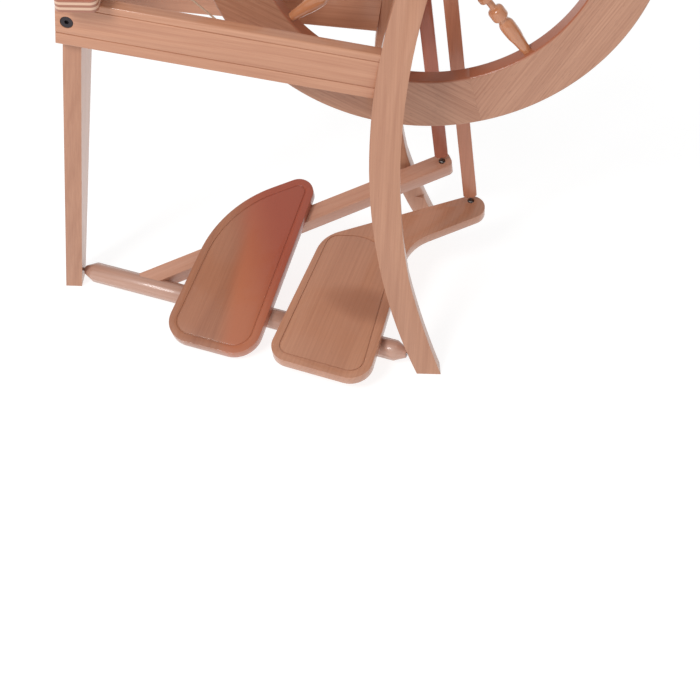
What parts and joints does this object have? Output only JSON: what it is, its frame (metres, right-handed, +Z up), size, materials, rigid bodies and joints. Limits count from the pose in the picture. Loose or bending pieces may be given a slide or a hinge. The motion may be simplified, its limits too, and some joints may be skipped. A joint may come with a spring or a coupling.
{
  "type": "spinning wheel",
  "caption": "Treadle spinning wheel: spoked drive wheel between curved legs, sloping rails, flyer with bobbin, and treadles that turn a crank through connecting rods.",
  "frame": {"origin": "on the floor, under the middle of the whole object's box", "axes": "+Z up, +Y from the spinner to the back along the wheel's axle, +X from the flyer towards the drive wheel"},
  "size_m": [0.7935, 0.3922, 0.8582],
  "materials": {
    "rail_wood": "satin lacquered hardwood, fine straight grain",
    "leg_wood": "satin lacquered hardwood, fine grain along the leg",
    "rim_wood": "satin lacquered hardwood, open grain along each segment",
    "spoke_wood": "gloss lacquered turned hardwood",
    "laminated_wood": "satin lacquered laminated hardwood",
    "head_wood": "gloss lacquered turned hardwood",
    "left_rod_wood": "satin lacquered reddish hardwood",
    "right_rod_wood": "satin lacquered hardwood",
    "bar_wood": "satin lacquered pale hardwood",
    "left_treadle_wood": "satin lacquered reddish-brown hardwood",
    "right_treadle_wood": "satin lacquered tan hardwood",
    "steel": "bright turned steel",
    "black_steel": "black oxide steel",
    "brass": "bright wire",
    "nylon": "natural nylon",
    "black_nylon": "black nylon",
    "band_cord": "stretchy translucent drive band",
    "brake_line": "braided brake line",
    "yarn_wool": "wound wool yarn"
  },
  "bodies": {
    "frame": {"front_rail": "rail_wood", "rear_rail": "rail_wood", "front_curved_leg": "leg_wood", "rear_curved_leg": "leg_wood", "left_leg": "leg_wood", "rail_bolts": "black_steel", "front_axle_bush": "nylon", "rear_axle_bush": "nylon", "mother_of_all": "laminated_wood", "front_maiden": "head_wood", "rear_maiden": "head_wood", "front_flyer_bearing": "black_nylon", "rear_flyer_bearing": "black_nylon", "brake_cord": "brake_line", "brake_spring": "steel", "brake_hook": "brass", "drive_band": "band_cord"},
    "wheel": {"rim_segment_1": "rim_wood", "rim_segment_2": "rim_wood", "rim_segment_3": "rim_wood", "rim_segment_4": "rim_wood", "spoke_1": "spoke_wood", "spoke_2": "spoke_wood", "spoke_3": "spoke_wood", "spoke_4": "spoke_wood", "spoke_5": "spoke_wood", "spoke_6": "spoke_wood", "spoke_7": "spoke_wood", "spoke_8": "spoke_wood", "wheel_hub": "spoke_wood", "wheel_axle": "steel", "double_crank": "steel"},
    "flyer": {"flyer_arms": "head_wood", "flyer_hooks": "brass", "orifice_spindle": "steel", "flyer_whorl": "head_wood"},
    "bobbin": {"bobbin_core": "head_wood", "bobbin_front_end": "head_wood", "bobbin_rear_end": "head_wood", "bobbin_yarn": "yarn_wool"},
    "tension_adjuster": {"tension_knob": "head_wood", "tension_screw": "steel"},
    "brake_adjuster": {"brake_peg": "head_wood"},
    "left_treadle": {"treadle_bar": "bar_wood", "treadle_bar_pins": "steel", "left_treadle_arm": "bar_wood", "left_treadle_board": "left_treadle_wood", "left_link_pin": "steel"},
    "right_treadle": {"right_treadle_board": "right_treadle_wood", "right_treadle_hinges": "bar_wood", "right_link_pin": "steel"},
    "left_connecting_rod": {"left_rod": "left_rod_wood", "left_rod_bush": "nylon", "left_rod_link": "steel"},
    "right_connecting_rod": {"right_rod": "right_rod_wood", "right_rod_bush": "nylon", "right_rod_link": "steel"}
  },
  "joints": [
    {"name": "wheel_spin", "type": "hinge", "parent": "frame", "child": "wheel", "pos_m": [0.11665, 0.02215, 0.578], "axis": [0, 1, 0], "continuous": true},
    {"name": "flyer_spin", "type": "hinge", "parent": "frame", "child": "flyer", "pos_m": [-0.29735, 0.02215, 0.66], "axis": [0, 1, 0], "continuous": true},
    {"name": "bobbin_spin", "type": "hinge", "parent": "flyer", "child": "bobbin", "pos_m": [-0.29735, 0.08215, 0.66], "axis": [0, 1, 0], "continuous": true},
    {"name": "tension_turn", "type": "hinge", "parent": "frame", "child": "tension_adjuster", "pos_m": [-0.29735, 0.10215, 0.525], "axis": [0, 0, 1], "range_deg": [-180, 180]},
    {"name": "brake_turn", "type": "hinge", "parent": "frame", "child": "brake_adjuster", "pos_m": [-0.28335, 0.15215, 0.525], "axis": [0, 0, 1], "range_deg": [-180, 180]},
    {"name": "left_treadle_tilt", "type": "hinge", "parent": "frame", "child": "left_treadle", "pos_m": [-0.37035, 0.02215, 0.02], "axis": [0.9505, -0.3109, 0], "range_deg": [-7.3, 3.6]},
    {"name": "right_treadle_tilt", "type": "hinge", "parent": "frame", "child": "right_treadle", "pos_m": [-0.37035, 0.02215, 0.02], "axis": [0.9505, -0.3109, 0], "range_deg": [-0.8, 12.4]},
    {"name": "left_rod_pivot", "type": "hinge", "parent": "left_treadle", "child": "left_connecting_rod", "pos_m": [0.14795, 0.14704, 0.13249], "axis": [0.9505, -0.3109, 0], "range_deg": [-4.9, 9.5]},
    {"name": "right_rod_pivot", "type": "hinge", "parent": "right_treadle", "child": "right_connecting_rod", "pos_m": [0.19067, 0.10166, 0.0966], "axis": [0.9505, -0.3109, 0], "range_deg": [-15.6, 1.5]}
  ],
  "couplings": [
    {"joint": "flyer_spin", "follows": "wheel_spin", "ratio": 6.5},
    {"joint": "left_rod_pivot", "follows": "left_treadle_tilt", "ratio": -1.227},
    {"joint": "right_rod_pivot", "follows": "right_treadle_tilt", "ratio": -1.215}
  ]
}
